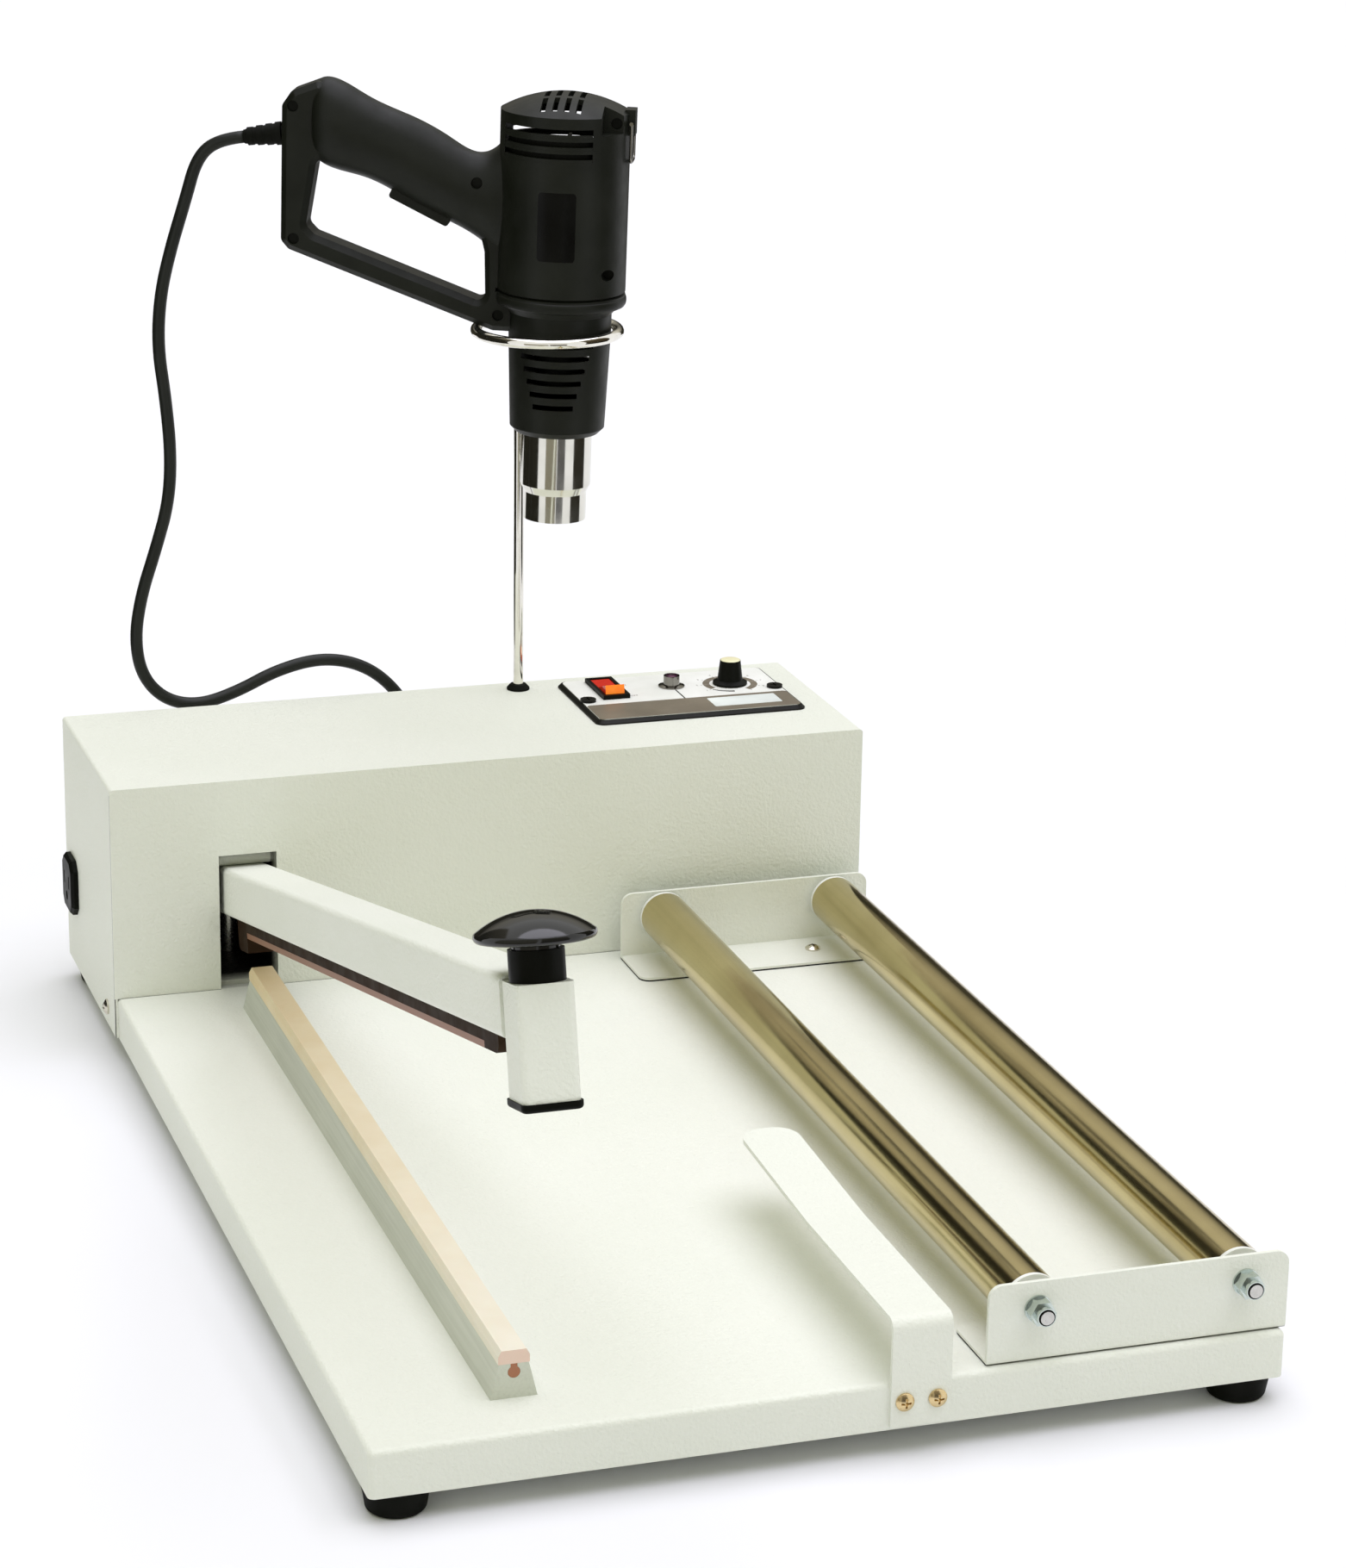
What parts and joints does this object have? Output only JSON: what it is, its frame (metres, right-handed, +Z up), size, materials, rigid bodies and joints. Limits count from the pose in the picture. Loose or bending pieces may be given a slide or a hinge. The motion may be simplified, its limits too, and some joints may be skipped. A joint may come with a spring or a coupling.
{
  "type": "impulse heat sealer",
  "caption": "Bench impulse film sealer: folded tray with a hinged sealing arm, film rollers, film guide, control housing and a heat gun on a ring stand.",
  "frame": {"origin": "under the middle of the whole machine without its cord, on the plane the rubber feet stand on", "axes": "+X to the machine's right, +Y to the back (towards the housing), +Z up"},
  "size_m": [0.4096, 0.828, 0.4798],
  "materials": {
    "white_paint": "fine orange-peel powder coat, satin",
    "rubber": "matte",
    "zinc": "zinc plated, slightly yellow",
    "aluminium": "extruded, fine lines along its length",
    "silicone": "pale amber, matte",
    "steel": "bright drawn",
    "chrome": "polished",
    "black_plastic": "fine grain",
    "nylon": "white nylon, smooth",
    "gloss_black": "polished",
    "white_print": "printed face, white with a taupe strip",
    "orange_lens": "clear tinted rocker",
    "copper_tape": "brown woven release tape",
    "nichrome": "flat resistance band",
    "winding": "taped winding",
    "board": "circuit board",
    "cord": "smooth flexible cord"
  },
  "bodies": {
    "base": {"base_tray": "white_paint", "rubber_feet": "rubber", "housing_cover": "white_paint", "back_panel": "white_paint", "machine_screws": "zinc", "sealing_bar": "aluminium", "silicone_strip": "silicone", "front_roller_bracket": "white_paint", "rear_roller_bracket": "white_paint", "roller_axles": "steel", "axle_nuts": "zinc", "film_guide": "white_paint", "outlet_socket": "black_plastic", "mains_inlet": "black_plastic", "panel_plate": "black_plastic", "panel_label": "white_print", "panel_screws": "black_plastic", "switch_bezel": "black_plastic", "indicator_lamp": "chrome", "timer_pot": "black_plastic", "stand_rod": "chrome", "rod_grommet": "rubber", "rod_socket": "steel", "transformer_core": "steel", "transformer_coil": "winding", "timer_board": "board", "microswitch": "black_plastic", "pivot_bracket": "white_paint", "pivot_shaft": "steel", "return_spring": "steel", "cord_hanging": "cord", "cord_coil": "cord", "coil_tie": "black_plastic", "mains_plug": "black_plastic"},
    "arm": {"arm_tube": "white_paint", "arm_post": "white_paint", "post_end_cap": "black_plastic", "knob_sleeve": "black_plastic", "handle_knob": "gloss_black", "jaw_rail": "aluminium", "heating_element": "nichrome", "ptfe_tape": "copper_tape", "element_blocks": "black_plastic"},
    "roller_left": {"roller_left": "steel", "roller_bushes_left": "nylon"},
    "roller_right": {"roller_right": "steel", "roller_bushes_right": "nylon"},
    "switch_rocker": {"switch_rocker": "orange_lens"},
    "timer_knob": {"timer_knob": "black_plastic"},
    "gun": {"gun_shell_near": "black_plastic", "gun_shell_far": "black_plastic", "gun_screws": "black_plastic", "gun_collar": "black_plastic", "gun_nozzle": "chrome", "gun_motor": "steel", "gun_heater": "black_plastic", "gun_strain_relief": "rubber"},
    "gun_trigger": {"gun_trigger": "black_plastic"},
    "gun_fan": {"gun_fan": "black_plastic"},
    "gun_hook": {"gun_hook": "steel"}
  },
  "joints": [
    {"name": "arm_hinge", "type": "hinge", "parent": "base", "child": "arm", "pos_m": [-0.1314, 0.2421, 0.077], "axis": [1, 0, 0], "range_deg": [0, 13.75], "stiffness_Nm_per_rad": 4, "springref_deg": -74.48, "deforming": ["return_spring"]},
    {"name": "roller_left_spin", "type": "hinge", "parent": "base", "child": "roller_left", "pos_m": [0.0863, -0.0592, 0.057], "axis": [0, 1, 0], "continuous": true},
    {"name": "roller_right_spin", "type": "hinge", "parent": "base", "child": "roller_right", "pos_m": [0.181, -0.0592, 0.057], "axis": [0, 1, 0], "continuous": true},
    {"name": "power_rocker", "type": "hinge", "parent": "base", "child": "switch_rocker", "pos_m": [0.0895, 0.3038, 0.1477], "axis": [1, 0, 0], "range_deg": [0, 20]},
    {"name": "timer_turn", "type": "hinge", "parent": "base", "child": "timer_knob", "pos_m": [0.1579, 0.2986, 0.1473], "axis": [0, 0, 1], "range_deg": [-150, 150]},
    {"name": "gun_lift", "type": "slide", "parent": "base", "child": "gun", "axis": [0, 0, 1], "range_m": [0, 0.15], "deforming": ["cord_hanging"]},
    {"name": "trigger_pull", "type": "slide", "parent": "gun", "child": "gun_trigger", "axis": [0.4062, -0.1721, 0.8974], "range_m": [0, 0.002], "stiffness_N_per_m": 400, "springref_m": -0.005},
    {"name": "fan_spin", "type": "hinge", "parent": "gun", "child": "gun_fan", "pos_m": [0.05684, 0.28242, 0.44134], "axis": [0.0209, -0.0089, 0.9997], "continuous": true},
    {"name": "hook_swing", "type": "hinge", "parent": "gun", "child": "gun_hook", "pos_m": [0.08925, 0.26866, 0.46104], "axis": [-0.3907, -0.9205, 0], "range_deg": [0, 110]}
  ]
}
